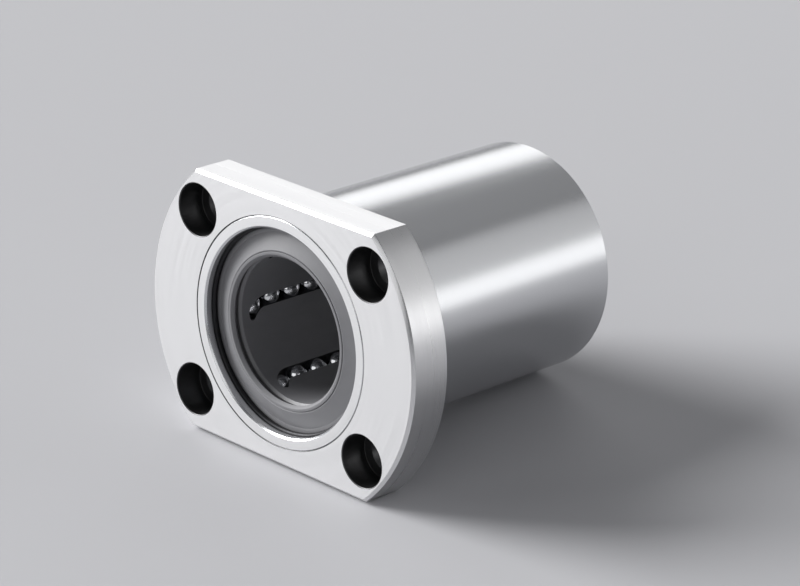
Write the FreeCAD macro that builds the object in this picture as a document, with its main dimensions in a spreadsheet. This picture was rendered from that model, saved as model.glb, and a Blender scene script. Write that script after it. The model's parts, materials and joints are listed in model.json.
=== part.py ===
"""Flanged linear ball bearing for a 25 mm shaft, with a flange that is cut flat on two sides.

The bore runs along Y and the flange's flats face up and down. The origin lies on the bore's axis, in the
plane of the flange's rear face, which seats on a housing, and the flange's front face looks along -Y.
Sleeve, retainer and balls are drawn from the sleeve's front end, and the end rings from their own end of it.
"""

import FreeCAD
import Part
import math
import os
import re
import Sketcher

# Driving dimensions in millimetres, with angles in degrees.
DIMENSIONS = {
    # Standard sizes of this bearing
    "shaft_dia": 25.0,
    "sleeve_dia": 40.0,
    "sleeve_length": 59.0,
    "flange_dia": 62.0,
    "flange_width": 46.0,
    "flange_thick": 8.0,
    "bolt_span_across": 40.0,
    "bolt_span_up": 32.0,
    "bolt_hole_dia": 5.5,
    "counterbore_dia": 9.0,
    "counterbore_depth": 5.1,
    # The flange's seat on the sleeve, and the edges of both
    "seat_dia": 39.5,
    "seat_relief": 0.3,
    "seat_lead_in": 0.3,
    "joint_chamfer": 0.12,
    "flange_chamfer": 0.5,
    "rear_chamfer": 0.8,
    "mouth_chamfer": 0.3,
    # Inside of the sleeve
    "end_bore_dia": 35.5,
    "end_bore_depth": 8.4,
    "race_dia": 33.14,
    "return_groove_dia": 4.24,
    # Ball circuits, each a racetrack in a plane that is tangent to the pitch circle
    "circuits": 6,
    "ball_dia": 3.969,
    "row_count": 9,
    "turn_radius": 2.92,
    "track_dia": 4.21,
    # Ball retainer
    "retainer_bore": 25.4,
    "retainer_dia": 32.6,
    "retainer_inset": 3.2,
    "retainer_chamfer": 0.4,
    "collar_dia": 35.2,
    "collar_length": 5.0,
    # Seal plates, dished towards the open end, and the lips moulded to them
    "plate_dia": 35.4,
    "plate_rim_dia": 33.2,
    "plate_bore": 27.0,
    "plate_thick": 0.7,
    "dish_height": 1.2,
    "lip_width": 0.5,
    "lip_depth": 0.55,
    # Snap rings, open wire rings that hold the seals in
    "snap_wire_dia": 1.0,
    "snap_groove_play": 0.05,
    "snap_gap_angle": 20.0,
}

FULL_TURN = 360
# An edge that strays less than this from the plane of a face lies in it.
FLATNESS = 0.001

# Formulas that several pieces share
PITCH_RADIUS = "(shaft_dia + ball_dia) / 2"
BALL_PITCH = "turn_radius * pi / 2"
FRONT_TURN = f"(sleeve_length - row_count * {BALL_PITCH}) / 2"
REAR_TURN = f"(sleeve_length + row_count * {BALL_PITCH}) / 2"
PLATE_FRONT = "(retainer_inset - plate_thick)"
SNAP_DEPTH = f"({PLATE_FRONT} - snap_wire_dia / 2)"

document = FreeCAD.newDocument("flanged_linear_bearing")
sheet = document.addObject("Spreadsheet::Sheet", "dimensions")


def fill_sheet():
    for row, (alias, size) in enumerate(DIMENSIONS.items(), start=1):
        sheet.set(f"A{row}", alias)
        sheet.set(f"B{row}", str(size))
        sheet.setAlias(f"B{row}", alias)
    document.recompute()


def bound(formula):
    """The formula with each dimension's name turned into a reference to its cell."""
    names = "|".join(DIMENSIONS)
    return re.sub(rf"\b({names})\b", rf"{sheet.Name}.\1", formula)


def value(formula):
    return float(sheet.evalExpression(bound(formula)))


def bind(item, sizes):
    """Bind properties of an object to formulas."""
    for name, formula in sizes.items():
        item.setExpression(name, bound(formula))


def new_body(label):
    body = document.addObject("PartDesign::Body", label)
    body.Label = label
    return body


def origin_feature(body, role):
    return next(item for item in body.Origin.OriginFeatures if item.Role == role)


def new_sketch(body, name, role, offset="0"):
    """An empty sketch on one of the body's own planes, moved along that plane's normal."""
    sketch = body.newObject("Sketcher::SketchObject", name)
    sketch.AttachmentSupport = [(origin_feature(body, role), "")]
    sketch.MapMode = "FlatFace"
    bind(sketch, {".AttachmentOffset.Base.z": offset})
    return sketch


def measure(sketch, formula, kind, *places):
    """Add a dimension to a sketch and bind it to a formula."""
    index = sketch.addConstraint(Sketcher.Constraint(kind, *places, value(formula)))
    bind(sketch, {f"Constraints[{index}]": formula})


def place_point(sketch, geometry, point, across, along):
    """Tie a point of a sketch's geometry to the sketch's origin by two formulas."""
    measure(sketch, across, "DistanceX", -1, 1, geometry, point)
    measure(sketch, along, "DistanceY", -1, 1, geometry, point)


def polygon(body, name, corners):
    """A closed profile for turning: each corner is a radius and a distance along the bore."""
    sketch = new_sketch(body, name, "XY_Plane")
    points = [FreeCAD.Vector(value(radius), value(along), 0) for radius, along in corners]
    for start, end in zip(points, points[1:] + points[:1]):
        sketch.addGeometry(Part.LineSegment(start, end))
    for side, (radius, along) in enumerate(corners):
        following = (side + 1) % len(corners)
        sketch.addConstraint(Sketcher.Constraint("Coincident", side, 2, following, 1))
        place_point(sketch, side, 1, radius, along)
    return sketch


def circle(sketch, across, along, diameter):
    centre = FreeCAD.Vector(value(across), value(along), 0)
    index = sketch.addGeometry(Part.Circle(centre, FreeCAD.Vector(0, 0, 1), value(diameter) / 2))
    place_point(sketch, index, 3, across, along)
    measure(sketch, diameter, "Diameter", index)


def turn(body, sketch, angle=f"{FULL_TURN}"):
    """Revolve a profile about the bore's axis."""
    turned = body.newObject("PartDesign::Revolution", f"{sketch.Name}_turned")
    turned.Profile = sketch
    turned.ReferenceAxis = (sketch, ["V_Axis"])
    bind(turned, {"Angle": angle})
    document.recompute()
    return turned


def repeat_round_bore(body, feature):
    """Repeat a cut for each ball circuit."""
    pattern = body.newObject("PartDesign::PolarPattern", f"{feature.Name}_pattern")
    pattern.Originals = [feature]
    pattern.Axis = (origin_feature(body, "Y_Axis"), [""])
    pattern.Angle = FULL_TURN
    bind(pattern, {"Occurrences": "circuits"})
    body.Tip = pattern


def from_front_end(item):
    """Move a piece drawn from the sleeve's front end into the part's frame."""
    bind(item, {".Placement.Base.y": "-flange_thick"})


def from_rear_end(item):
    """Turn a piece drawn from an end of the sleeve to face the other way, and move it to the rear end."""
    item.Placement.Rotation = FreeCAD.Rotation(FreeCAD.Vector(0, 0, 1), 180)
    bind(item, {".Placement.Base.y": "sleeve_length - flange_thick"})


def face_edges(shape, face, nearest, furthest):
    """Names of the edges in a face across the bore whose middles lie between two distances from its axis."""
    names = []
    for number, edge in enumerate(shape.Edges, start=1):
        strays = max(abs(place - value(face)) for place in (edge.BoundBox.YMin, edge.BoundBox.YMax))
        middle = edge.valueAt((edge.FirstParameter + edge.LastParameter) / 2)
        if strays < FLATNESS and value(nearest) < math.hypot(middle.x, middle.z) < value(furthest):
            names.append(f"Edge{number}")
    return names


def chamfer(body, name, base, edges, size):
    cut = body.newObject("PartDesign::Chamfer", name)
    cut.Base = (base, edges)
    bind(cut, {"Size": size})
    document.recompute()
    return cut


def flange_outline(body):
    """The flange's face: a round rim cut off by two flats, and the bore for the sleeve."""
    sketch = new_sketch(body, "flange_outline", "XZ_Plane")
    origin = FreeCAD.Vector(0, 0, 0)
    normal = FreeCAD.Vector(0, 0, 1)
    rim = Part.Circle(origin, normal, value("flange_dia / 2"))
    flat_height = value("flange_width / 2")
    reach = math.asin(flat_height / rim.Radius)
    right = Part.ArcOfCircle(rim, -reach, reach)
    left = Part.ArcOfCircle(rim, math.pi - reach, math.pi + reach)
    sketch.addGeometry(right)
    sketch.addGeometry(Part.LineSegment(right.EndPoint, left.StartPoint))
    sketch.addGeometry(left)
    sketch.addGeometry(Part.LineSegment(left.EndPoint, right.StartPoint))
    for side in range(4):
        sketch.addConstraint(Sketcher.Constraint("Coincident", side, 2, (side + 1) % 4, 1))
    for arc in (0, 2):
        sketch.addConstraint(Sketcher.Constraint("Coincident", arc, 3, -1, 1))
    for flat in (1, 3):
        sketch.addConstraint(Sketcher.Constraint("Horizontal", flat))
    measure(sketch, "flange_dia / 2", "Radius", 0)
    measure(sketch, "flange_width / 2", "DistanceY", -1, 1, 1, 1)
    measure(sketch, "flange_width / 2", "DistanceY", 3, 1, -1, 1)
    circle(sketch, "0", "0", "seat_dia")
    return sketch


def make_flange():
    """Turned steel ring, milled flat on two sides, pressed on the sleeve and ground flush with it."""
    body = new_body("flange")
    blank = body.newObject("PartDesign::Pad", "flange_blank")
    blank.Profile = flange_outline(body)
    bind(blank, {"Length": "flange_thick"})
    document.recompute()
    front, rear = "-flange_thick", "0"
    inside, outside = ("0", "sleeve_dia / 2"), ("sleeve_dia / 2", "flange_dia")
    rim_edges = face_edges(blank.Shape, front, *outside) + face_edges(blank.Shape, rear, *outside)
    eased = chamfer(body, "rim_chamfer", blank, rim_edges, "flange_chamfer")
    seated = chamfer(body, "seat_edge", eased, face_edges(eased.Shape, rear, *inside), "seat_lead_in")
    opened = chamfer(body, "joint_edge", seated, face_edges(seated.Shape, front, *inside), "joint_chamfer")

    pattern = new_sketch(body, "bolt_pattern", "XZ_Plane", "flange_thick")
    for across in ("-bolt_span_across / 2", "bolt_span_across / 2"):
        for along in ("-bolt_span_up / 2", "bolt_span_up / 2"):
            circle(pattern, across, along, "bolt_hole_dia")
    holes = body.newObject("PartDesign::Hole", "bolt_holes")
    holes.Profile = pattern
    document.recompute()
    holes.DepthType = "ThroughAll"
    holes.HoleCutType = "Counterbore"
    holes.HoleCutCustomValues = True
    sizes = {
        "Diameter": "bolt_hole_dia",
        "HoleCutDiameter": "counterbore_dia",
        "HoleCutDepth": "counterbore_depth",
    }
    bind(holes, sizes)
    document.recompute()
    if holes.Shape.Volume >= opened.Shape.Volume:
        raise ValueError("the bolt holes cut nothing")
    return body


def sleeve_profile(body):
    """Half section of the sleeve: ground outside, race in the middle, stepped bores and a groove at each end."""
    seat = "seat_dia / 2"
    outside = "sleeve_dia / 2"
    mouth = "end_bore_dia / 2"
    race = "race_dia / 2"
    groove = "(end_bore_dia + snap_wire_dia) / 2 + snap_groove_play"
    groove_front = f"{SNAP_DEPTH} - snap_wire_dia / 2 - snap_groove_play"
    groove_back = f"{SNAP_DEPTH} + snap_wire_dia / 2 + snap_groove_play"
    end_bore = [
        (f"{mouth} + mouth_chamfer", "0"),
        (mouth, "mouth_chamfer"),
        (mouth, groove_front),
        (groove, groove_front),
        (groove, groove_back),
        (mouth, groove_back),
        (mouth, "end_bore_depth"),
        (race, "end_bore_depth"),
    ]
    rear_bore = [(radius, f"sleeve_length - ({depth})") for radius, depth in reversed(end_bore)]
    outer_side = [
        (f"{outside} - rear_chamfer", "sleeve_length"),
        (outside, "sleeve_length - rear_chamfer"),
        (outside, "flange_thick + seat_relief"),
        (seat, "flange_thick + seat_relief"),
        (seat, "joint_chamfer"),
        (f"{seat} - joint_chamfer", "0"),
    ]
    return polygon(body, "sleeve_profile", end_bore + rear_bore + outer_side)


def make_sleeve():
    """Hardened steel sleeve with six race lands, and a relief groove for each return row between them."""
    body = new_body("outer_sleeve")
    turned = turn(body, sleeve_profile(body))
    sketch = new_sketch(body, "return_groove_section", "XZ_Plane")
    circle(sketch, PITCH_RADIUS, "2 * turn_radius", "return_groove_dia")
    groove = body.newObject("PartDesign::Pocket", "return_groove")
    groove.Profile = sketch
    bind(groove, {"Length": "sleeve_length"})
    document.recompute()
    if groove.Shape.Volume >= turned.Shape.Volume:
        raise ValueError("the return groove cuts nothing")
    repeat_round_bore(body, groove)
    from_front_end(body)
    return body


def track_route(body):
    """Centre line of one circuit: loaded row, rear turn, return row and front turn."""
    sketch = new_sketch(body, "track_route", "YZ_Plane", PITCH_RADIUS)
    front = value(FRONT_TURN)
    rear = value(REAR_TURN)
    radius = value("turn_radius")
    normal = FreeCAD.Vector(0, 0, 1)
    quarter = math.pi / 2
    rear_circle = Part.Circle(FreeCAD.Vector(rear, radius, 0), normal, radius)
    front_circle = Part.Circle(FreeCAD.Vector(front, radius, 0), normal, radius)
    loaded = (FreeCAD.Vector(front, 0, 0), FreeCAD.Vector(rear, 0, 0))
    returning = (FreeCAD.Vector(rear, 2 * radius, 0), FreeCAD.Vector(front, 2 * radius, 0))
    sketch.addGeometry(Part.LineSegment(*loaded))
    sketch.addGeometry(Part.ArcOfCircle(rear_circle, -quarter, quarter))
    sketch.addGeometry(Part.LineSegment(*returning))
    sketch.addGeometry(Part.ArcOfCircle(front_circle, quarter, 3 * quarter))
    for side in range(4):
        sketch.addConstraint(Sketcher.Constraint("Tangent", side, 2, (side + 1) % 4, 1))
    sketch.addConstraint(Sketcher.Constraint("Equal", 1, 3))
    measure(sketch, "turn_radius", "Radius", 1)
    place_point(sketch, 0, 1, FRONT_TURN, "0")
    place_point(sketch, 0, 2, REAR_TURN, "0")
    return sketch


def make_retainer():
    """Moulded cage: a tube with an end collar at each end and a racetrack of ball track for each circuit."""
    body = new_body("ball_retainer")
    bore = "retainer_bore / 2"
    outside = "retainer_dia / 2"
    collar = "collar_dia / 2"
    front_half = [
        (bore, "retainer_inset + retainer_chamfer"),
        (f"{bore} + retainer_chamfer", "retainer_inset"),
        (collar, "retainer_inset"),
        (collar, "retainer_inset + collar_length"),
        (outside, "retainer_inset + collar_length"),
    ]
    rear_half = [(radius, f"sleeve_length - ({along})") for radius, along in reversed(front_half)]
    tube = turn(body, polygon(body, "retainer_profile", front_half + rear_half))
    section = new_sketch(body, "track_section", "XZ_Plane", f"-{FRONT_TURN}")
    circle(section, PITCH_RADIUS, "0", "track_dia")
    route = track_route(body)
    document.recompute()
    track = body.newObject("PartDesign::SubtractivePipe", "ball_track")
    track.Profile = section
    track.Spine = (route, [f"Edge{number}" for number in range(1, 5)])
    document.recompute()
    if track.Shape.Volume >= tube.Shape.Volume:
        raise ValueError("the ball track cuts nothing")
    repeat_round_bore(body, track)
    from_front_end(body)
    return body


def make_seal_plate(label):
    """Pressed steel ring: a flat rim behind the snap ring, then a dish that rises towards the open end."""
    body = new_body(label)
    corners = [
        ("plate_dia / 2", PLATE_FRONT),
        ("plate_dia / 2", "retainer_inset"),
        ("plate_rim_dia / 2", "retainer_inset"),
        ("plate_bore / 2", "retainer_inset - dish_height"),
        ("plate_bore / 2", f"{PLATE_FRONT} - dish_height"),
        ("plate_rim_dia / 2", PLATE_FRONT),
    ]
    turn(body, polygon(body, "plate_profile", corners))
    return body


def make_seal_lip(label):
    """Rubber ring on the plate's inner edge, with a lip that touches the shaft."""
    body = new_body(label)
    inner_edge = "plate_bore / 2"
    corners = [
        (inner_edge, f"{PLATE_FRONT} - dish_height"),
        (inner_edge, "retainer_inset - dish_height + lip_depth"),
        ("shaft_dia / 2 + lip_width", "retainer_inset - dish_height + lip_depth"),
        ("shaft_dia / 2", f"{PLATE_FRONT} - dish_height + lip_depth"),
        ("shaft_dia / 2 + lip_width", f"{PLATE_FRONT} - dish_height"),
    ]
    turn(body, polygon(body, "lip_profile", corners))
    return body


def make_snap_ring(label):
    """Open ring of round spring wire, half sunk in the sleeve's groove."""
    body = new_body(label)
    section = new_sketch(body, "wire_section", "XY_Plane")
    circle(section, "end_bore_dia / 2", SNAP_DEPTH, "snap_wire_dia")
    turn(body, section, f"{FULL_TURN} - snap_gap_angle")
    return body


def make_end_pieces():
    """Seal plate, seal lip and snap ring for each end of the sleeve."""
    makers = {"seal_plate": make_seal_plate, "seal_lip": make_seal_lip, "snap_ring": make_snap_ring}
    pieces = []
    for piece, make in makers.items():
        front = make(f"front_{piece}")
        from_front_end(front)
        rear = make(f"rear_{piece}")
        from_rear_end(rear)
        pieces += [front, rear]
    return pieces


def make_balls(label, circuit, centres):
    """Separate balls of one circuit: each centre is a distance along the bore and one across the circuit."""
    balls = []
    for along, across in centres:
        ball = document.addObject("Part::Sphere", "ball")
        sizes = {
            "Radius": "ball_dia / 2",
            ".Placement.Base.x": PITCH_RADIUS,
            ".Placement.Base.y": along,
            ".Placement.Base.z": across,
        }
        bind(ball, sizes)
        balls.append(ball)
    group = document.addObject("Part::Compound", label)
    group.Label = label
    group.Links = balls
    group.Placement.Rotation = FreeCAD.Rotation(FreeCAD.Vector(0, -1, 0), circuit * FULL_TURN / value("circuits"))
    from_front_end(group)
    return group


def make_circuits():
    """Loaded row, return row and the two turns of each circuit, a ball pitch apart all the way round."""
    steps = [step - (value("row_count") - 1) / 2 for step in range(int(value("row_count")))]
    row = [f"sleeve_length / 2 + {step} * {BALL_PITCH}" for step in steps]
    diagonal = "turn_radius * sqrt(0.5)"
    sides = (f"turn_radius - {diagonal}", f"turn_radius + {diagonal}")
    groups = {
        "loaded_balls": [(along, "0") for along in row],
        "return_balls": [(along, "2 * turn_radius") for along in row],
        "front_turn_balls": [(f"{FRONT_TURN} - {diagonal}", across) for across in sides],
        "rear_turn_balls": [(f"{REAR_TURN} + {diagonal}", across) for across in sides],
    }
    return [
        make_balls(f"{name}_{circuit + 1}", circuit, centres)
        for circuit in range(int(value("circuits")))
        for name, centres in groups.items()
    ]


def write_parts(pieces):
    """Check the whole document, then write each piece under its own name."""
    document.recompute()
    for item in document.Objects:
        if "Invalid" in item.State or "Error" in item.State:
            raise ValueError(f"{item.Label} did not build: {item.State}")
    for piece in pieces:
        if piece.Shape.isNull() or not piece.Shape.isValid():
            raise ValueError(f"{piece.Label} has no valid shape")
    os.makedirs("parts", exist_ok=True)
    for piece in pieces:
        piece.Shape.exportStep(f"parts/{piece.Label}.step")


fill_sheet()
write_parts([make_flange(), make_sleeve(), make_retainer()] + make_end_pieces() + make_circuits())
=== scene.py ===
"""Finished surfaces of a flanged linear ball bearing, made round its solids, and a studio stage for it.

The bore runs along Y, the flange's front face looks along -Y, and every size is in metres.
"""

import json
import math

import bmesh
import bpy
from bpy.props import FloatProperty, FloatVectorProperty, IntProperty, PointerProperty
from mathutils import Matrix, Vector


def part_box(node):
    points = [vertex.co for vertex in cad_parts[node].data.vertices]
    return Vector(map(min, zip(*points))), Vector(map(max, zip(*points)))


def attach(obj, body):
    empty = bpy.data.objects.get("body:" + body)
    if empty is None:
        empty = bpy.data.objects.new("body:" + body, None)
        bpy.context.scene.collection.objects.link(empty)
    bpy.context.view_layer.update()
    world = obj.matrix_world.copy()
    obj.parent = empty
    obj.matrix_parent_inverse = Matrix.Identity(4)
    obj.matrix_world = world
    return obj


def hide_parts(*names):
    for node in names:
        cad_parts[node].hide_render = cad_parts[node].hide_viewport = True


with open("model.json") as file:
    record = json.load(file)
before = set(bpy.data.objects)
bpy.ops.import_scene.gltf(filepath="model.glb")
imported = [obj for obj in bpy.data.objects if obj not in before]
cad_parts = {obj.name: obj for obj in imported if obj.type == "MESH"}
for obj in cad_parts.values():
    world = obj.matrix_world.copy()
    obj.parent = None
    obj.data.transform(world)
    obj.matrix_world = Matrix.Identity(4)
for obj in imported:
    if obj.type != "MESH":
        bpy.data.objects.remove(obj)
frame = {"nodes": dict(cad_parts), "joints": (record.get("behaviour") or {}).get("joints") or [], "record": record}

bl_info = {
    "name": "Flanged Linear Bearing",
    "version": (1, 0, 0),
    "blender": (4, 5, 0),
    "location": "View3D > Sidebar > Bearing",
    "description": "Finishes the pieces of a flanged linear ball bearing and sets up a studio stage",
    "category": "Object",
}

MM = 0.001
SHELL = "bearing_shell"
CIRCUITS = sum(name.startswith("loaded_balls_") for name in frame["nodes"])
JOINTS = {joint["name"]: joint for joint in frame["joints"]}
MOUNTS = {mount["name"]: mount for mount in frame["record"]["mounts"]}

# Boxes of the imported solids, which give the places and most of the sizes
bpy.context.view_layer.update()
BOXES = {name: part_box(name) for name in frame["nodes"]}
MIDDLES = {name: (low + high) / 2 for name, (low, high) in BOXES.items()}
FLANGE_LOW, FLANGE_HIGH = BOXES["flange"]
SLEEVE_LOW, SLEEVE_HIGH = BOXES["outer_sleeve"]
PLATE_LOW, PLATE_HIGH = BOXES["front_seal_plate"]
LIP_LOW, LIP_HIGH = BOXES["front_seal_lip"]
SNAP_LOW, SNAP_HIGH = BOXES["front_snap_ring"]
BALLS_LOW, BALLS_HIGH = BOXES["loaded_balls_1"]
BALL_DIAMETER = BALLS_HIGH.x - BALLS_LOW.x
# The first circuit lies on the right, so its loaded balls touch the shaft at their lowest X
SHAFT_RADIUS = BALLS_LOW.x

# Points nearer than this count as one
TINY = 0.0001 * MM
# Share of a straight run that the arc at one of its corners may take
CORNER_SHARE = 0.45
# Flat strip beside a wall's edge, in edge radii: narrow, because the screw heads' seats come near the rim
STRIP_WIDTH = 1.25
# Straight lines that stand for the curve of a ball circuit's turn, and the balls in that turn
TURN_STEPS = 8
TURN_BALLS = 2

# Values that nearly all of a noise pattern lies between
NOISE_LOW, NOISE_HIGH = 0.3, 0.7
# A Mix node's places for two colours and their mix, whose names its other sockets share
MIX_FIRST, MIX_SECOND, MIX_RESULT = 6, 7, 2

# All lamps stand this far from the bearing, each at an azimuth and an elevation in degrees
LAMP_DISTANCE = 1.6
KEY_PLACE = (-65, 26)
# Flat lamps: place, width and height, and a brightness of 1 where a mirror would show the lamp as white
SOFT_BOXES = {
    # Lights the flange's front face
    "front_box": ((-48, 13), (1.38, 0.8), 2.0),
    # Shows as a bright band along the sleeve's top
    "left_rear_box": ((-137, 25), (1.1, 0.68), 1.5),
    # Fills the grey stretch below that band
    "top_rear_box": ((180, 52), (1.1, 0.9), 0.24),
    # Show as a bright band along the sleeve's side, with a softer one above it
    "low_rear_box": ((132, 6), (1.2, 0.56), 1.5),
    "high_rear_box": ((132, 29), (1.2, 0.72), 0.6),
    # Lights the bore and the balls in it
    "bore_box": ((22, 24), (1.1, 1.1), 0.95),
}


def linear(hex_colour):
    """An sRGB hex value as linear red, green and blue."""
    shares = [int(hex_colour[place:place + 2], 16) / 255 for place in (0, 2, 4)]
    return tuple(share / 12.92 if share <= 0.04045 else ((share + 0.055) / 1.055) ** 2.4 for share in shares)


def length(name, description, default):
    """A length that a user may change."""
    return FloatProperty(
        name=name, description=description, default=default, min=0, precision=5, unit="LENGTH",
    )


def rotation(name, description, degrees):
    """An angle that a user may change."""
    return FloatProperty(name=name, description=description, default=math.radians(degrees), unit="ROTATION")


def count(name, description, default, least, most=1000):
    """A number of steps that a user may change."""
    return IntProperty(name=name, description=description, default=default, min=least, max=most)


def colour(name, description, hex_colour):
    """A colour that a user may change."""
    return FloatVectorProperty(
        name=name, description=description, default=linear(hex_colour), min=0, max=1, size=3, subtype="COLOR",
    )


class BearingSizes(bpy.types.PropertyGroup):
    """Sizes that the boxes of the solids don't give."""

    edge_radius: length("Edge radius", "Rounding left on ground and turned edges", 0.08 * MM)
    corner_radius: length("Corner radius", "Rounding where the flange's flats meet its rim", 0.3 * MM)
    rim_chamfer: length("Rim chamfer", "Chamfer round the flange's faces", 0.5 * MM)
    hole_break: length("Hole edge break", "Chamfer at the mouths of the screw holes", 0.15 * MM)
    counterbore_radius: length("Counterbore radius", "Radius of the screw heads' seats", 4.5 * MM)
    counterbore_depth: length("Counterbore depth", "Depth of the screw heads' seats", 5.1 * MM)
    seat_radius: length("Seat radius", "Radius at which the flange is pressed on the sleeve", 19.75 * MM)
    seat_relief: length("Seat relief", "Gap from the flange to the sleeve's ground outside", 0.3 * MM)
    seat_lead_in: length("Seat lead-in", "Chamfer of the flange's bore at its rear face", 0.3 * MM)
    joint_chamfer: length("Joint chamfer", "Chamfers of the joint in the front face", 0.12 * MM)
    rear_chamfer: length("Rear chamfer", "Lead-in chamfer at the sleeve's rear end", 0.8 * MM)
    end_bore_radius: length("End bore radius", "Radius of the sleeve's bore at its ends", 17.75 * MM)
    end_bore_depth: length("End bore depth", "Depth of the sleeve's end bores", 8.4 * MM)
    mouth_chamfer: length("Mouth chamfer", "Chamfer at the mouths of the end bores", 0.3 * MM)
    race_radius: length("Race radius", "Radius of the race that the loaded balls roll on", 16.57 * MM)
    return_groove_radius: length("Return groove radius", "Radius of the return rows' grooves", 2.12 * MM)
    snap_groove_play: length("Snap groove play", "Room round the snap rings in their grooves", 0.05 * MM)
    snap_gap: rotation("Snap ring gap", "Opening between the ends of a snap ring", 20)
    plate_thickness: length("Seal plate thickness", "Sheet thickness of the seal plates", 0.7 * MM)
    plate_bend_radius: length("Seal plate bend", "Radius where the seal plates bend to a dish", 16.6 * MM)
    plate_rounding: length("Seal plate rounding", "Rounding of the pressed bends and edges", 0.25 * MM)
    lip_width: length("Lip width", "How far the rubber lip tapers towards the shaft", 0.5 * MM)
    lip_depth: length("Lip depth", "From the lip's open side to its edge on the shaft", 0.55 * MM)
    lip_rounding: length("Lip rounding", "Rounding of the rubber lip", 0.1 * MM)
    edge_steps: count("Edge steps", "Faces across a rounded edge", default=3, least=1)
    turned_steps: count("Turned steps", "Faces round a turned piece", default=240, least=12)
    hole_steps: count("Hole steps", "Faces round a screw hole", default=72, least=12)
    rim_steps: count("Rim steps", "Faces along each round side of the flange", default=80, least=4)
    wire_steps: count("Wire steps", "Faces round the snap ring's wire", default=20, least=6)
    ball_detail: count("Ball detail", "Subdivisions of each ball", default=4, least=1, most=6)


class BearingFinishes(bpy.types.PropertyGroup):
    """Colours of the finishes."""

    flange_steel: colour("Flange steel", "Turned rim of the flange, and all ground faces", "E2E2E3")
    # Its dark colour is painted shade, for the shade inside the screw holes and the flange's bore
    hole_painted_shade_steel: colour("Hole steel", "Walls of the screw holes and of the flange's bore", "5A5A5B")
    sleeve_steel: colour("Sleeve steel", "Hardened and ground sleeve", "D6D7D9")
    plate_steel: colour("Seal plate steel", "Phosphated plates of the seals", "868689")
    ball_steel: colour("Ball steel", "Polished balls", "E0E1E3")
    wire_steel: colour("Snap ring steel", "Blackened spring wire", "2E2E30")
    retainer: colour("Retainer", "Moulded ball retainer", "7E7E81")
    rubber: colour("Lip rubber", "Moulded seal lips", "7E7E81")


class BearingStage(bpy.types.PropertyGroup):
    """Floor, light and camera."""

    floor: colour("Floor", "Plain pale floor", "C6C6C9")
    floor_size: length("Floor size", "Length and width of the floor", 6.0)
    surroundings: colour("Surroundings", "Even light from all round", "56575A")
    key_strength: FloatProperty(
        name="Key strength", description="Strength of the main light", default=4.2, min=0,
    )
    key_spread: rotation("Key spread", "How wide the main light looks from the bearing", 36)
    azimuth: rotation("Azimuth", "How far the camera stands round to the right of the front", 44.213)
    elevation: rotation("Elevation", "How far the camera looks down", 20.836)
    roll: rotation("Roll", "Tilt of the camera about its own line of sight", 2.007)
    distance: length("Distance", "From the camera to the point that it looks at", 555.11 * MM)
    aim: FloatVectorProperty(
        name="Aim", description="Point of the bearing that the camera looks at", size=3,
        default=(12.189 * MM, 7.522 * MM, 6.901 * MM), subtype="TRANSLATION", unit="LENGTH",
    )
    lens: FloatProperty(
        name="Lens", description="Focal length of the camera", default=153.37, min=1, unit="CAMERA",
    )


def add(tree, kind, inputs=None, **settings):
    """Add a node: inputs are values or other nodes' outputs, by the socket's name or number."""
    node = tree.nodes.new(kind)
    for name, setting in settings.items():
        setattr(node, name, setting)
    for place, value in (inputs or {}).items():
        if isinstance(value, bpy.types.NodeSocket):
            tree.links.new(value, node.inputs[place])
        else:
            node.inputs[place].default_value = value
    return node


def new_material(name, base, metallic):
    """A material with one shader, its tree and that shader."""
    material = bpy.data.materials.new(name)
    material.use_nodes = True
    tree = material.node_tree
    tree.nodes.clear()
    shader = add(tree, "ShaderNodeBsdfPrincipled", {"Base Color": (*base, 1), "Metallic": metallic})
    add(tree, "ShaderNodeOutputMaterial", {"Surface": shader.outputs[0]})
    return material, tree, shader


def fine_marks(tree, along, across, rings=False):
    """Fine marks or grain as a pattern from 0 to 1: lines round the bore, or rings on a face across it.

    A mark is about as long as along and as wide as across.
    """
    place = add(tree, "ShaderNodeTexCoord").outputs["Object"]
    if rings:
        spread = add(tree, "ShaderNodeVectorMath", {0: place, 1: (1, 0, 1)}, operation="MULTIPLY")
        radius = add(tree, "ShaderNodeVectorMath", {0: spread.outputs[0]}, operation="LENGTH")
        parts = add(tree, "ShaderNodeSeparateXYZ", {0: place})
        place = add(tree, "ShaderNodeCombineXYZ", {
            "X": parts.outputs["X"], "Y": radius.outputs["Value"], "Z": parts.outputs["Z"],
        }).outputs[0]
    mapped = add(tree, "ShaderNodeMapping", {"Vector": place, "Scale": (1 / along, 1 / across, 1 / along)})
    noise = add(tree, "ShaderNodeTexNoise", {
        "Vector": mapped.outputs[0], "Scale": 1, "Detail": 3, "Roughness": 0.6,
    })
    return noise.outputs["Fac"]


def mark(tree, shader, pattern, roughness, darkest, depth):
    """Let a pattern vary a surface: its roughness, its colour down to a share of itself, and its height."""
    base = shader.inputs["Base Color"].default_value
    dark = [share * darkest for share in base[:3]]
    smoothest, roughest = roughness
    gloss = add(tree, "ShaderNodeMapRange", {
        "Value": pattern, "From Min": NOISE_LOW, "From Max": NOISE_HIGH,
        "To Min": smoothest, "To Max": roughest,
    })
    colours = {"Factor": pattern, MIX_FIRST: (*dark, 1), MIX_SECOND: base}
    tint = add(tree, "ShaderNodeMix", colours, data_type="RGBA")
    relief = add(tree, "ShaderNodeBump", {"Height": pattern, "Distance": depth})
    tree.links.new(gloss.outputs[0], shader.inputs["Roughness"])
    tree.links.new(tint.outputs[MIX_RESULT], shader.inputs["Base Color"])
    tree.links.new(relief.outputs[0], shader.inputs["Normal"])


def ground_face_steel(piece, base):
    """Steel, face ground: bright and satin, with faint rings from the wheel.

    The real rings are some 0.03 mm wide, and are drawn wider so that they show.
    """
    material, tree, shader = new_material(f"ground_{piece}_face_steel", base, metallic=1)
    rings = fine_marks(tree, along=25 * MM, across=0.3 * MM, rings=True)
    mark(tree, shader, rings, roughness=(0.52, 0.64), darkest=0.92, depth=0.0012 * MM)
    return material


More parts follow.
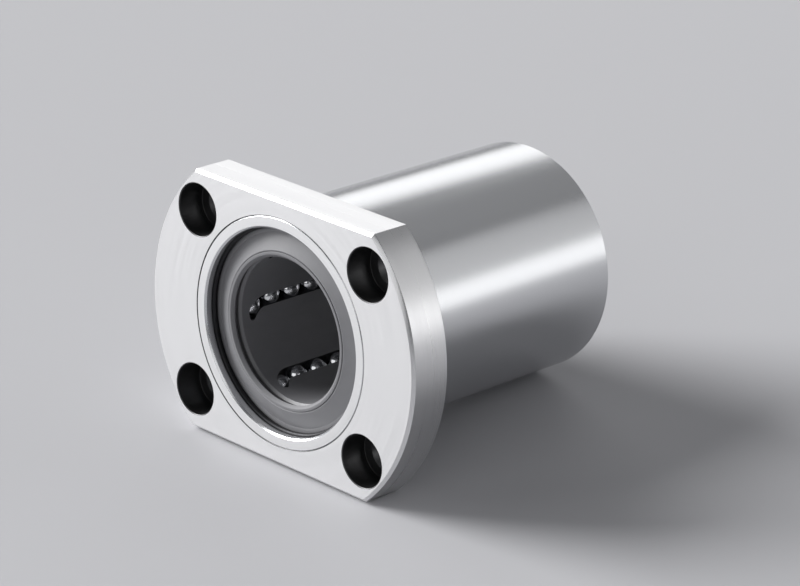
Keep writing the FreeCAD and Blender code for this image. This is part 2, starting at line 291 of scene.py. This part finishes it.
def turned_rim_steel(base):
    """Carbon steel, finely turned: satin, with lines round the rim.

    The real lines are some 0.05 mm wide, and are drawn wider so that they show.
    """
    material, tree, shader = new_material("turned_rim_steel", base, metallic=1)
    lines = fine_marks(tree, along=40 * MM, across=0.3 * MM)
    mark(tree, shader, lines, roughness=(0.26, 0.35), darkest=0.9, depth=0.0004 * MM)
    return material


def drilled_steel_painted_shade(base):
    """Carbon steel as drilled: duller than the ground faces, and ringed by the cutter. Its dark colour is painted
    shade, for the shade deep in the holes.
    """
    material, tree, shader = new_material("drilled_steel_painted_shade", base, metallic=1)
    lines = fine_marks(tree, along=3 * MM, across=0.3 * MM)
    mark(tree, shader, lines, roughness=(0.38, 0.52), darkest=0.75, depth=0.006 * MM)
    return material


def ground_sleeve_steel(base):
    """Hardened chromium bearing steel, cylindrically ground: a soft mirror with fine lines round it.

    The real lines are some 0.02 mm wide, and are drawn wider so that they show.
    """
    material, tree, shader = new_material("ground_sleeve_steel", base, metallic=1)
    lines = fine_marks(tree, along=150 * MM, across=0.4 * MM)
    mark(tree, shader, lines, roughness=(0.23, 0.26), darkest=0.96, depth=0.0001 * MM)
    return material


def phosphated_steel(base):
    """Steel sheet, pressed and phosphated: matt mid grey from its crystal coat, a little cloudy."""
    material, tree, shader = new_material("phosphated_steel", base, metallic=0)
    clouds = fine_marks(tree, along=2.5 * MM, across=1.2 * MM)
    mark(tree, shader, clouds, roughness=(0.42, 0.56), darkest=0.85, depth=0.002 * MM)
    return material


def polished_ball_steel(base):
    """Chromium bearing steel, lapped to a mirror, with the faintest haze."""
    material, tree, shader = new_material("polished_ball_steel", base, metallic=1)
    haze = fine_marks(tree, along=0.5 * MM, across=0.5 * MM)
    mark(tree, shader, haze, roughness=(0.06, 0.11), darkest=0.97, depth=0.0001 * MM)
    return material


def blackened_spring_steel(base):
    """Spring wire, oil blackened: near black, with a dull gleam."""
    material, tree, shader = new_material("blackened_spring_steel", base, metallic=0.85)
    blotches = fine_marks(tree, along=0.6 * MM, across=0.6 * MM)
    mark(tree, shader, blotches, roughness=(0.34, 0.5), darkest=0.7, depth=0.002 * MM)
    return material


def moulded_acetal(base):
    """Acetal resin, injection moulded: mid grey with a smooth, slightly greasy sheen."""
    material, tree, shader = new_material("moulded_acetal", base, metallic=0)
    shader.inputs["IOR"].default_value = 1.48
    flow = fine_marks(tree, along=1.5 * MM, across=3 * MM)
    mark(tree, shader, flow, roughness=(0.33, 0.46), darkest=0.85, depth=0.002 * MM)
    return material


def moulded_rubber(base):
    """Nitrile rubber, moulded: grey and matt, with a fine grain."""
    material, tree, shader = new_material("moulded_rubber", base, metallic=0)
    shader.inputs["IOR"].default_value = 1.52
    grain = fine_marks(tree, along=0.25 * MM, across=0.25 * MM)
    mark(tree, shader, grain, roughness=(0.55, 0.72), darkest=0.85, depth=0.005 * MM)
    return material


def rounded(corners, radius, steps, closed=True):
    """The outline with a small arc in place of each corner. An open outline keeps its two ends."""
    points = []
    for index, corner in enumerate(corners):
        here = Vector(corner)
        if not closed and index in (0, len(corners) - 1):
            points.append(here)
            continue
        back = Vector(corners[index - 1]) - here
        ahead = Vector(corners[(index + 1) % len(corners)]) - here
        half = back.angle(ahead) / 2
        reach = min(radius / math.tan(half), CORNER_SHARE * back.length, CORNER_SHARE * ahead.length)
        centre = here + (back.normalized() + ahead.normalized()).normalized() * reach / math.cos(half)
        first = (here + back.normalized() * reach - centre).normalized()
        last = (here + ahead.normalized() * reach - centre).normalized()
        arc_radius = reach * math.tan(half)
        points += [centre + first.slerp(last, step / steps) * arc_radius for step in range(steps + 1)]
    return points


def join_rings(work, rings):
    """Join closed rings of corners, each to the next one, and return the faces strip by strip."""
    strips = []
    for ring, following in zip(rings, rings[1:]):
        strip = []
        for index, corner in enumerate(ring):
            after = (index + 1) % len(ring)
            strip.append(work.faces.new((corner, ring[after], following[after], following[index])))
        strips.append(strip)
    return strips


def turned(outline, steps, start=0.0, sweep=math.tau):
    """Turn a closed outline of radius and place along the bore about the bore's axis, in a new bmesh."""
    work = bmesh.new()
    whole = sweep == math.tau
    rings = []
    for step in range(steps if whole else steps + 1):
        turn = start + sweep * step / steps
        spoke = Vector((math.cos(turn), 0, math.sin(turn)))
        rings.append([work.verts.new(spoke * radius + Vector((0, along, 0))) for radius, along in outline])
    if whole:
        join_rings(work, rings + rings[:1])
    else:
        join_rings(work, rings)
        work.faces.new(rings[0])
        work.faces.new(rings[-1])
    return work


def mesh_from(work, name, materials):
    """Close and orient a bmesh, and turn it into a smooth mesh whose flat faces stay flat."""
    bmesh.ops.remove_doubles(work, verts=work.verts, dist=TINY)
    bmesh.ops.recalc_face_normals(work, faces=work.faces)
    mesh = bpy.data.meshes.new(name)
    work.to_mesh(mesh)
    work.free()
    for material in materials:
        mesh.materials.append(material)
    mesh.shade_smooth()
    holder = bpy.data.objects.new(name, mesh)
    bpy.context.scene.collection.objects.link(holder)
    holder.modifiers.new("flat_faces_stay_flat", "WEIGHTED_NORMAL")
    smooth = baked(holder)
    bpy.data.objects.remove(holder)
    return smooth


def baked(holder):
    """The mesh that an object's modifiers give."""
    graph = bpy.context.evaluated_depsgraph_get()
    finished = holder.evaluated_get(graph)
    return bpy.data.meshes.new_from_object(finished, preserve_all_data_layers=True, depsgraph=graph)


def place_piece(name, mesh, body, node):
    """Put a finished mesh in place of a solid."""
    mesh.name = name
    piece = bpy.data.objects.new(name, mesh)
    bpy.context.scene.collection.objects.link(piece)
    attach(piece, body)
    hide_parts(node)


def at_rear(outline):
    """An outline at the sleeve's front end, mirrored to its rear end."""
    return [(radius, SLEEVE_LOW.y + SLEEVE_HIGH.y - along) for radius, along in reversed(outline)]


def arc_points(centre, radius, turns):
    """Points at some angles round a centre, in a plane across the bore."""
    return [(centre[0] + radius * math.cos(turn), centre[1] + radius * math.sin(turn)) for turn in turns]


def ring_points(centre, radius, steps):
    """Points all round a circle in a plane across the bore."""
    return arc_points(centre, radius, [math.tau * step / steps for step in range(steps)])


def flange_outline(sizes, inset):
    """Points round the flange's rim and flats, moved in by an inset, from the upper right corner on."""
    rim = FLANGE_HIGH.x - inset
    flat = FLANGE_HIGH.z - inset
    corner = max(sizes.corner_radius - inset, sizes.edge_radius)
    up = flat - corner
    across = math.sqrt((rim - corner) ** 2 - up ** 2)
    reach = math.atan2(up, across)
    quarter = math.pi / 2
    corner_steps = 2 * sizes.edge_steps
    points = []
    for side in (1, -1):
        middle = 0 if side == 1 else math.pi
        for first, last, centre in (
            (middle + reach, middle + quarter, (side * across, side * up)),
            (middle + quarter, middle + math.pi - reach, (-side * across, side * up)),
        ):
            turns = [first + (last - first) * step / corner_steps for step in range(corner_steps + 1)]
            points += arc_points(centre, corner, turns)
        first, last = middle + math.pi - reach, middle + math.pi + reach
        turns = [first + (last - first) * step / sizes.rim_steps for step in range(1, sizes.rim_steps)]
        points += arc_points((0, 0), rim, turns)
    return points


def wall_profile(sizes, front_wall, front_break, rear_wall, rear_break, ledge=()):
    """Profile of a wall from face to face, as pairs of distance and place along the bore.

    It has a flat strip and an edge break at both faces, and a ledge where the wall changes its distance.
    """
    front, rear = FLANGE_LOW.y, FLANGE_HIGH.y
    strip = STRIP_WIDTH * sizes.edge_radius
    corners = [
        (front_wall + front_break + strip, front), (front_wall + front_break, front),
        (front_wall, front + front_break), *ledge, (rear_wall, rear - rear_break),
        (rear_wall + rear_break, rear), (rear_wall + rear_break + strip, rear),
    ]
    return rounded(corners, sizes.edge_radius, sizes.edge_steps, closed=False)


def loft(work, loops, material):
    """Join closed loops of points, each with its place along the bore, and return both ends' edges.

    The strips at both ends lie in the ground faces and keep the first material.
    """
    rings = [[work.verts.new((x, along, z)) for x, z in points] for points, along in loops]
    for strip in join_rings(work, rings)[1:-1]:
        for face in strip:
            face.material_index = material
    ends = []
    for ring in (rings[0], rings[-1]):
        ends.append([work.edges.get(pair) for pair in zip(ring, ring[1:] + ring[:1])])
    return ends


class BEARING_OT_flange(bpy.types.Operator):
    """Ground and turned flange with its flats and counterbored screw holes"""

    bl_idname = "bearing.flange"
    bl_label = "Flange"

    def execute(self, context):
        sizes = context.scene.bearing_sizes
        finishes = context.scene.bearing_finishes
        materials = [
            ground_face_steel("flange", finishes.flange_steel),
            turned_rim_steel(finishes.flange_steel),
            # Holes and bore: a dark colour as painted shade, for the shade deep inside them
            drilled_steel_painted_shade(finishes.hole_painted_shade_steel),
        ]
        # Places of the last two in that list
        turned_rim, drilled = 1, 2

        work = bmesh.new()
        rim = wall_profile(sizes, 0, sizes.rim_chamfer, 0, sizes.rim_chamfer)
        walls = [loft(work, [(flange_outline(sizes, inset), along) for inset, along in rim], turned_rim)]
        seat = sizes.seat_radius
        bore = wall_profile(sizes, seat, sizes.joint_chamfer, seat, sizes.seat_lead_in)
        walls.append(self.round_wall(work, (0, 0), bore, sizes.turned_steps, drilled))
        hole = self.hole_profile(sizes)
        for centre in self.hole_centres():
            walls.append(self.round_wall(work, centre, hole, sizes.hole_steps, drilled))
        for end in (0, 1):
            edges = [edge for ends in walls for edge in ends[end]]
            bmesh.ops.triangle_fill(work, edges=edges, use_beauty=True)

        mesh = mesh_from(work, "flange_work", materials)
        place_piece("ground_flange", mesh, SHELL, "flange")
        return {"FINISHED"}

    def round_wall(self, work, centre, profile, steps, material):
        """A round wall from face to face."""
        loops = [(ring_points(centre, radius, steps), along) for radius, along in profile]
        return loft(work, loops, material)

    def hole_profile(self, sizes):
        """Profile of a screw hole, with the seat of the screw's head."""
        head, shank = sizes.counterbore_radius, MOUNTS["flange_bolts"]["dims"]["hole_r_mm"] * MM
        floor = FLANGE_LOW.y + sizes.counterbore_depth
        ledge = [(head, floor), (shank, floor)]
        return wall_profile(sizes, head, sizes.hole_break, shank, sizes.hole_break, ledge)

    def hole_centres(self):
        """Places of the screw holes across the bore."""
        spacing = MOUNTS["flange_bolts"]["dims"]
        across, up = spacing["spacing_x_mm"] / 2 * MM, spacing["spacing_y_mm"] / 2 * MM
        return [(x, z) for x in (-across, across) for z in (-up, up)]


class BEARING_OT_sleeve(bpy.types.Operator):
    """Hardened and ground sleeve with its race, snap ring grooves and return grooves"""

    bl_idname = "bearing.sleeve"
    bl_label = "Sleeve"

    def execute(self, context):
        sizes = context.scene.bearing_sizes
        finishes = context.scene.bearing_finishes
        work = turned(self.outline(sizes), sizes.turned_steps)
        for corner in work.verts:
            radius = math.hypot(corner.co.x, corner.co.z)
            reach = self.groove_reach(math.atan2(corner.co.z, corner.co.x), sizes.return_groove_radius)
            if radius < reach:
                corner.co.x *= reach / radius
                corner.co.z *= reach / radius
        materials = [
            ground_sleeve_steel(finishes.sleeve_steel),
            ground_face_steel("sleeve", finishes.flange_steel),
        ]
        # Place of the last one in that list
        face_ground = 1
        for face in work.faces:
            places = [corner.co.y for corner in face.verts]
            if all(min(along - SLEEVE_LOW.y, SLEEVE_HIGH.y - along) < TINY for along in places):
                face.material_index = face_ground
        mesh = mesh_from(work, "sleeve_work", materials)
        place_piece("ground_sleeve", mesh, SHELL, "outer_sleeve")
        return {"FINISHED"}

    def outline(self, sizes):
        """Section of the sleeve's wall: front end bore, race, rear end bore and outside."""
        front, rear = SLEEVE_LOW.y, SLEEVE_HIGH.y
        outside, seat, bore = SLEEVE_HIGH.x, sizes.seat_radius, sizes.end_bore_radius
        groove = SNAP_HIGH.x + sizes.snap_groove_play
        groove_front = SNAP_LOW.y - sizes.snap_groove_play
        groove_back = SNAP_HIGH.y + sizes.snap_groove_play
        end_bore = [
            (bore + sizes.mouth_chamfer, front), (bore, front + sizes.mouth_chamfer),
            (bore, groove_front), (groove, groove_front), (groove, groove_back), (bore, groove_back),
            (bore, front + sizes.end_bore_depth), (sizes.race_radius, front + sizes.end_bore_depth),
        ]
        shoulder = FLANGE_HIGH.y + sizes.seat_relief
        outer_side = [
            (outside - sizes.rear_chamfer, rear), (outside, rear - sizes.rear_chamfer),
            (outside, shoulder), (seat, shoulder),
            (seat, front + sizes.joint_chamfer), (seat - sizes.joint_chamfer, front),
        ]
        return rounded(end_bore + at_rear(end_bore) + outer_side, sizes.edge_radius, sizes.edge_steps)

    def groove_reach(self, angle, groove_radius):
        """How far out the wall of a return groove lies at an angle, or 0 where there is none."""
        centre = MIDDLES["return_balls_1"]
        out = math.hypot(centre.x, centre.z)
        step = math.tau / CIRCUITS
        off = (angle - math.atan2(centre.z, centre.x) + step / 2) % step - step / 2
        beside = out * math.sin(off)
        if abs(beside) >= groove_radius:
            return 0
        return out * math.cos(off) + math.sqrt(groove_radius ** 2 - beside ** 2)


class BEARING_OT_retainer(bpy.types.Operator):
    """Finish of the moulded ball retainer, whose solid shows as it is"""

    bl_idname = "bearing.retainer"
    bl_label = "Ball Retainer"

    def execute(self, context):
        material = moulded_acetal(context.scene.bearing_finishes.retainer)
        for slot in frame["nodes"]["ball_retainer"].material_slots:
            slot.material = material
        return {"FINISHED"}


class BEARING_OT_seals(bpy.types.Operator):
    """Dished seal plates and their rubber lips, at both ends"""

    bl_idname = "bearing.seals"
    bl_label = "Seals"

    def execute(self, context):
        sizes = context.scene.bearing_sizes
        finishes = context.scene.bearing_finishes
        steel = phosphated_steel(finishes.plate_steel)
        rubber = moulded_rubber(finishes.rubber)
        sheet = sizes.plate_thickness
        rim, bend, inner = PLATE_HIGH.x, sizes.plate_bend_radius, LIP_HIGH.x
        crown, seat = PLATE_LOW.y, PLATE_HIGH.y
        plate = [
            (rim, seat - sheet), (rim, seat), (bend, seat),
            (inner, crown + sheet), (inner, crown), (bend, seat - sheet),
        ]
        taper = SHAFT_RADIUS + sizes.lip_width
        lip = [
            (inner, LIP_LOW.y), (inner, LIP_HIGH.y), (taper, LIP_HIGH.y),
            (SHAFT_RADIUS, LIP_LOW.y + sizes.lip_depth), (taper, LIP_LOW.y),
        ]
        for end, mirror in (("front", list), ("rear", at_rear)):
            outline = rounded(mirror(plate), sizes.plate_rounding, sizes.edge_steps)
            mesh = mesh_from(turned(outline, sizes.turned_steps), "plate_work", [steel])
            place_piece(f"{end}_pressed_plate", mesh, SHELL, f"{end}_seal_plate")
            outline = rounded(mirror(lip), sizes.lip_rounding, sizes.edge_steps)
            mesh = mesh_from(turned(outline, sizes.turned_steps), "lip_work", [rubber])
            place_piece(f"{end}_rubber_lip", mesh, SHELL, f"{end}_seal_lip")
        return {"FINISHED"}


class BEARING_OT_snap_rings(bpy.types.Operator):
    """Open rings of blackened wire that hold the seals in"""

    bl_idname = "bearing.snap_rings"
    bl_label = "Snap Rings"

    def execute(self, context):
        sizes = context.scene.bearing_sizes
        material = blackened_spring_steel(context.scene.bearing_finishes.wire_steel)
        wire = (SNAP_HIGH.y - SNAP_LOW.y) / 2
        section = ring_points((SNAP_HIGH.x - wire, SNAP_LOW.y + wire), wire, sizes.wire_steps)
        sweep = math.tau - sizes.snap_gap
        for end, mirror, start in (("front", list, sizes.snap_gap), ("rear", at_rear, math.pi)):
            work = turned(mirror(section), sizes.turned_steps, start, sweep)
            mesh = mesh_from(work, "wire_work", [material])
            place_piece(f"{end}_wire_ring", mesh, SHELL, f"{end}_snap_ring")
        return {"FINISHED"}


def ball_tree(material):
    """Geometry nodes that set balls along a stretch of track, and the identifiers of their inputs."""
    tree = bpy.data.node_groups.new("balls_along_track", "GeometryNodeTree")
    sockets = {"Track": "Geometry", "Balls": "Int", "Ball Diameter": "Float", "Ball Detail": "Int"}
    inputs = {
        name: tree.interface.new_socket(name, in_out="INPUT", socket_type=f"NodeSocket{kind}").identifier
        for name, kind in sockets.items()
    }
    tree.interface.new_socket("Balls", in_out="OUTPUT", socket_type="NodeSocketGeometry")
    given = add(tree, "NodeGroupInput").outputs
    track = add(tree, "GeometryNodeMeshToCurve", {"Mesh": given["Track"]})
    places = add(tree, "GeometryNodeCurveToPoints", {
        "Curve": track.outputs[0], "Count": given["Balls"],
    }, mode="COUNT")
    half = add(tree, "ShaderNodeMath", {0: given["Ball Diameter"], 1: 2}, operation="DIVIDE")
    ball = add(tree, "GeometryNodeMeshIcoSphere", {
        "Radius": half.outputs[0], "Subdivisions": given["Ball Detail"],
    })
    smooth = add(tree, "GeometryNodeSetShadeSmooth", {"Geometry": ball.outputs["Mesh"]})
    balls = add(tree, "GeometryNodeInstanceOnPoints", {
        "Points": places.outputs["Points"], "Instance": smooth.outputs[0],
    })
    real = add(tree, "GeometryNodeRealizeInstances", {"Geometry": balls.outputs[0]})
    finished = add(tree, "GeometryNodeSetMaterial", {"Geometry": real.outputs[0], "Material": material})
    add(tree, "NodeGroupOutput", {"Balls": finished.outputs[0]})
    return tree, inputs


class BEARING_OT_balls(bpy.types.Operator):
    """Polished balls of every circuit: loaded rows, return rows and the turns between them"""

    bl_idname = "bearing.balls"
    bl_label = "Ball Circuits"

    def execute(self, context):
        nodes = ball_tree(polished_ball_steel(context.scene.bearing_finishes.ball_steel))
        first, last = BALLS_LOW.y + BALL_DIAMETER / 2, BALLS_HIGH.y - BALL_DIAMETER / 2
        row_count = round((last - first) / self.pitch()) + 1
        for circuit in range(1, CIRCUITS + 1):
            for kind in ("loaded", "return"):
                node = f"{kind}_balls_{circuit}"
                middle = MIDDLES[node]
                track = [Vector((middle.x, along, middle.z)) for along in (first, last)]
                self.set_balls(context, node, f"{kind}_row_{circuit}", track, row_count, nodes)
            for end in ("front", "rear"):
                node = f"{end}_turn_balls_{circuit}"
                track = self.turn_track(end, circuit)
                self.set_balls(context, node, f"{end}_turn_{circuit}", track, TURN_BALLS, nodes)
        return {"FINISHED"}

    def pitch(self):
        """Distance between balls along the track: a quarter of the turn's circle."""
        return self.turn_radius() * math.pi / 2

    def turn_radius(self):
        """Half the distance between a loaded row and its return row."""
        return (MIDDLES["return_balls_1"] - MIDDLES["loaded_balls_1"]).length / 2

    def turn_track(self, end, circuit):
        """Middle half of a turn, from one of its balls to the other."""
        joint = JOINTS[f"{end}_turn_{circuit}_roll"]
        centre = Vector(joint["pos_m"])
        outwards = Vector((0, -1 if end == "front" else 1, 0)) * self.turn_radius()
        eighth = math.pi / 4
        turns = [eighth * (2 * step / TURN_STEPS - 1) for step in range(TURN_STEPS + 1)]
        return [centre + Matrix.Rotation(turn, 3, joint["axis"]) @ outwards for turn in turns]

    def set_balls(self, context, node, body, track, ball_count, nodes):
        """One group of balls along its track, as a plain mesh."""
        line = bpy.data.meshes.new("track")
        line.from_pydata(track, [(index, index + 1) for index in range(len(track) - 1)], [])
        holder = bpy.data.objects.new("track", line)
        context.scene.collection.objects.link(holder)
        modifier = holder.modifiers.new("balls", "NODES")
        modifier.node_group, inputs = nodes
        modifier[inputs["Balls"]] = ball_count
        modifier[inputs["Ball Diameter"]] = BALL_DIAMETER
        modifier[inputs["Ball Detail"]] = context.scene.bearing_sizes.ball_detail
        mesh = baked(holder)
        bpy.data.objects.remove(holder)
        place_piece(f"polished_{node}", mesh, body, node)


def direction(azimuth, elevation):
    """Direction from the bearing to a place, by its turn from the front to the right and its rise."""
    level = math.cos(elevation)
    return Vector((math.sin(azimuth) * level, -math.cos(azimuth) * level, math.sin(elevation)))


class BEARING_OT_stage(bpy.types.Operator):
    """Pale floor, soft studio light and the camera"""

    bl_idname = "bearing.stage"
    bl_label = "Stage"

    def execute(self, context):
        stage = context.scene.bearing_stage
        self.set_floor(context, stage)
        self.set_lights(context, stage)
        self.set_camera(context, stage)
        context.scene.view_settings.view_transform = "Standard"
        return {"FINISHED"}

    def set_floor(self, context, stage):
        """A sloping floor, because the bearing leans on its flange's edge and its sleeve's rear end."""
        sizes = context.scene.bearing_sizes
        touch_front = Vector((0, FLANGE_HIGH.y - sizes.rim_chamfer, FLANGE_LOW.z))
        touch_rear = Vector((0, SLEEVE_HIGH.y - sizes.rear_chamfer, SLEEVE_LOW.z))
        slope = touch_rear - touch_front
        half = stage.floor_size / 2
        corners = [(-half, -half, 0), (half, -half, 0), (half, half, 0), (-half, half, 0)]
        mesh = bpy.data.meshes.new("floor")
        mesh.from_pydata(corners, [], [(0, 1, 2, 3)])
        floor = bpy.data.objects.new("floor", mesh)
        floor.location = touch_front
        floor.rotation_euler.x = math.atan2(slope.z, slope.y)
        context.scene.collection.objects.link(floor)
        material, _, shader = new_material("matt_pale_floor", stage.floor, metallic=0)
        shader.inputs["Roughness"].default_value = 0.7
        shader.inputs["Specular IOR Level"].default_value = 0.2
        mesh.materials.append(material)

    def set_lights(self, context, stage):
        """Even light from all round, the main light and the flat lamps."""
        world = bpy.data.worlds.new("surroundings")
        world.use_nodes = True
        world.node_tree.nodes["Background"].inputs["Color"].default_value = (*stage.surroundings, 1)
        context.scene.world = world
        self.add_key(context, stage)
        for name, (place, size, brightness) in SOFT_BOXES.items():
            self.add_box(context, name, place, size, brightness)

    def add_key(self, context, stage):
        """The main light, wide enough for a soft shadow."""
        light = bpy.data.lights.new("key_light", "SUN")
        light.energy = stage.key_strength
        light.angle = stage.key_spread
        self.place_lamp(context, light, KEY_PLACE)

    def add_box(self, context, name, place, size, brightness):
        """A flat lamp, whose power follows from its size and brightness."""
        light = bpy.data.lights.new(name, "AREA")
        light.shape = "RECTANGLE"
        light.size, light.size_y = size
        light.energy = brightness * math.pi * light.size * light.size_y
        self.place_lamp(context, light, place)

    def place_lamp(self, context, light, place):
        """Stand a lamp at an azimuth and an elevation round the bearing, turned to face it."""
        towards = direction(*map(math.radians, place))
        lamp = bpy.data.objects.new(light.name, light)
        lamp.location = towards * LAMP_DISTANCE
        lamp.rotation_euler = (-towards).to_track_quat("-Z", "Y").to_euler()
        lamp.visible_camera = False
        context.scene.collection.objects.link(lamp)

    def set_camera(self, context, stage):
        """A camera that looks at its aim from its azimuth, elevation and distance."""
        lens = bpy.data.cameras.new("camera")
        lens.sensor_fit = "HORIZONTAL"
        lens.lens = stage.lens
        lens.clip_start = 10 * MM
        camera = bpy.data.objects.new("camera", lens)
        context.scene.collection.objects.link(camera)
        back = direction(stage.azimuth, stage.elevation)
        right = Vector((math.cos(stage.azimuth), math.sin(stage.azimuth), 0))
        axes = Matrix((right, back.cross(right), back)).transposed()
        facing = axes @ Matrix.Rotation(stage.roll, 3, "Z")
        place = Vector(stage.aim) + back * stage.distance
        camera.matrix_world = Matrix.Translation(place) @ facing.to_4x4()
        context.scene.camera = camera


class BEARING_PT_panel(bpy.types.Panel):
    """Everything that makes the bearing, in order"""

    bl_label = "Flanged Linear Bearing"
    bl_idname = "BEARING_PT_panel"
    bl_space_type = "VIEW_3D"
    bl_region_type = "UI"
    bl_category = "Bearing"

    def draw(self, context):
        for group_name in GROUPS:
            group = getattr(context.scene, group_name)
            column = self.layout.box().column(align=True)
            for name in group.bl_rna.properties.keys():
                if name not in ("rna_type", "name"):
                    column.prop(group, name)
        for maker in OPERATORS:
            self.layout.operator(maker.bl_idname)


GROUPS = {"bearing_sizes": BearingSizes, "bearing_finishes": BearingFinishes, "bearing_stage": BearingStage}
OPERATORS = (
    BEARING_OT_flange,
    BEARING_OT_sleeve,
    BEARING_OT_retainer,
    BEARING_OT_seals,
    BEARING_OT_snap_rings,
    BEARING_OT_balls,
    BEARING_OT_stage,
)
CLASSES = (*GROUPS.values(), *OPERATORS, BEARING_PT_panel)


def register():
    """Make the classes known, and give every scene the bearing's sizes, finishes and stage."""
    for item in CLASSES:
        bpy.utils.register_class(item)
    for name, group in GROUPS.items():
        setattr(bpy.types.Scene, name, PointerProperty(type=group))


def unregister():
    """Undo what register did."""
    for name in GROUPS:
        delattr(bpy.types.Scene, name)
    for item in reversed(CLASSES):
        bpy.utils.unregister_class(item)


def main():
    """Make every piece and the stage."""
    register()
    bpy.ops.bearing.flange()
    bpy.ops.bearing.sleeve()
    bpy.ops.bearing.retainer()
    bpy.ops.bearing.seals()
    bpy.ops.bearing.snap_rings()
    bpy.ops.bearing.balls()
    bpy.ops.bearing.stage()


if __name__ == "__main__":
    main()
